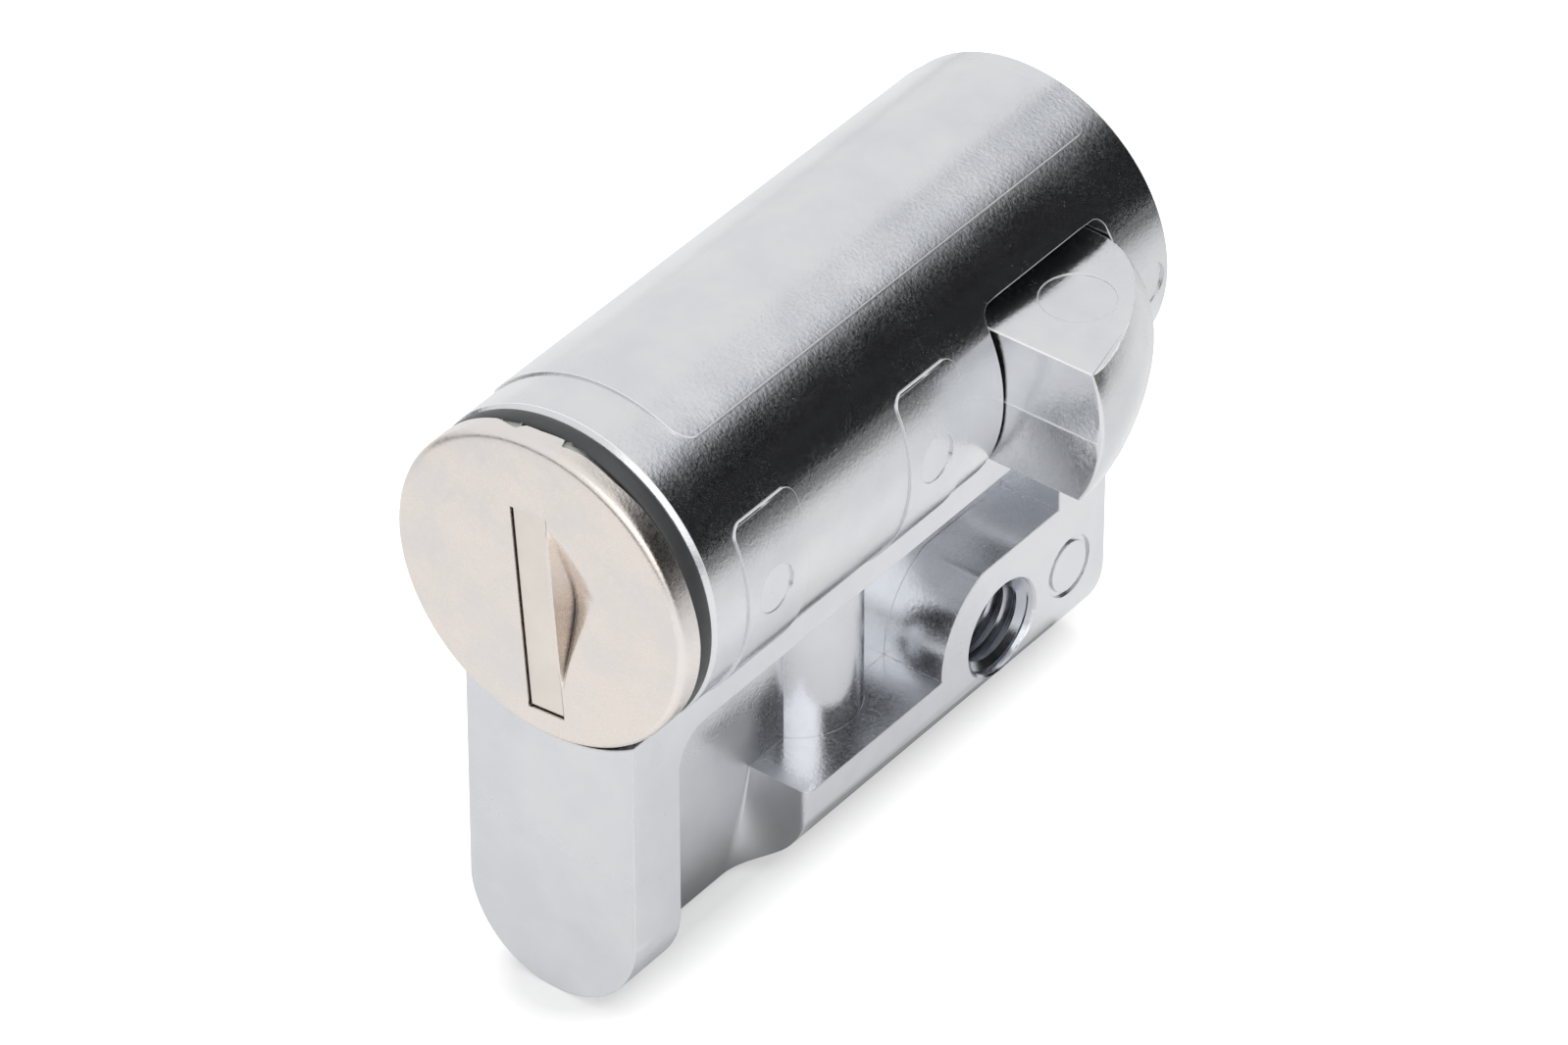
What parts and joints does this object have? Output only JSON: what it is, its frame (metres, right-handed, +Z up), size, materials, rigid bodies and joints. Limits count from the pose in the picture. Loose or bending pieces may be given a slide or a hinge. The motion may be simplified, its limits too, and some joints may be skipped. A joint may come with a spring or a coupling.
{
  "type": "half euro cylinder",
  "caption": "Half euro profile lock cylinder: round barrel on a pocketed web, leaning key slot with a sprung shutter, side cam and a tapped fixing hole.",
  "frame": {"origin": "centre of the tapped fixing hole, in the middle of the web's thickness", "axes": "+X along the fixing hole towards the cam's side, +Y along the plug's axis from the key slot to the rear, +Z up from the web to the barrel"},
  "size_m": [0.0227, 0.038, 0.0331],
  "materials": {
    "plated_case": "plated die casting, soft shine",
    "cap_steel": "satin pressed sheet",
    "seal": "matt",
    "pin_steel": "turned",
    "plug_brass": "machined",
    "wafer_brass": "stamped",
    "shutter_steel": "stamped",
    "spring_steel": "drawn wire",
    "cam_steel": "plated casting, soft shine"
  },
  "bodies": {
    "case": {"housing": "plated_case", "seal_ring": "seal", "retaining_pin": "pin_steel"},
    "plug": {"plug": "plug_brass", "face_cap": "cap_steel", "shutter_pin": "pin_steel", "shutter_spring": "spring_steel", "wafer_spring_1": "spring_steel", "wafer_spring_2": "spring_steel", "wafer_spring_3": "spring_steel", "wafer_spring_4": "spring_steel", "wafer_spring_5": "spring_steel", "wafer_spring_6": "spring_steel", "cam": "cam_steel", "cam_washer": "pin_steel", "cam_screw": "pin_steel"},
    "shutter": {"shutter": "shutter_steel"},
    "wafer_1": {"wafer_1": "wafer_brass"},
    "wafer_2": {"wafer_2": "wafer_brass"},
    "wafer_3": {"wafer_3": "wafer_brass"},
    "wafer_4": {"wafer_4": "wafer_brass"},
    "wafer_5": {"wafer_5": "wafer_brass"},
    "wafer_6": {"wafer_6": "wafer_brass"}
  },
  "joints": [
    {"name": "plug_turn", "type": "hinge", "parent": "case", "child": "plug", "pos_m": [0, -0.009, 0.0187], "axis": [0, 1, 0], "range_deg": [-2, 23]},
    {"name": "shutter_swing", "type": "hinge", "parent": "plug", "child": "shutter", "pos_m": [-0.00206, -0.02872, 0.01854], "axis": [-0.0785, 0, 0.9969], "range_deg": [0, 90], "stiffness_Nm_per_rad": 0.0002, "springref_deg": -11.46, "deforming": ["shutter_spring"]},
    {"name": "wafer_1_slide", "type": "slide", "parent": "plug", "child": "wafer_1", "axis": [0.0785, 0, -0.9969], "range_m": [0, 0.0004], "stiffness_N_per_m": 60, "springref_m": -0.0003, "deforming": ["wafer_spring_1"]},
    {"name": "wafer_2_slide", "type": "slide", "parent": "plug", "child": "wafer_2", "axis": [-0.0785, 0, 0.9969], "range_m": [0, 0.0004], "stiffness_N_per_m": 60, "springref_m": -0.0003, "deforming": ["wafer_spring_2"]},
    {"name": "wafer_3_slide", "type": "slide", "parent": "plug", "child": "wafer_3", "axis": [0.0785, 0, -0.9969], "range_m": [0, 0.0004], "stiffness_N_per_m": 60, "springref_m": -0.0003, "deforming": ["wafer_spring_3"]},
    {"name": "wafer_4_slide", "type": "slide", "parent": "plug", "child": "wafer_4", "axis": [-0.0785, 0, 0.9969], "range_m": [0, 0.0004], "stiffness_N_per_m": 60, "springref_m": -0.0003, "deforming": ["wafer_spring_4"]},
    {"name": "wafer_5_slide", "type": "slide", "parent": "plug", "child": "wafer_5", "axis": [0.0785, 0, -0.9969], "range_m": [0, 0.0004], "stiffness_N_per_m": 60, "springref_m": -0.0003, "deforming": ["wafer_spring_5"]},
    {"name": "wafer_6_slide", "type": "slide", "parent": "plug", "child": "wafer_6", "axis": [-0.0785, 0, 0.9969], "range_m": [0, 0.0004], "stiffness_N_per_m": 60, "springref_m": -0.0003, "deforming": ["wafer_spring_6"]}
  ]
}
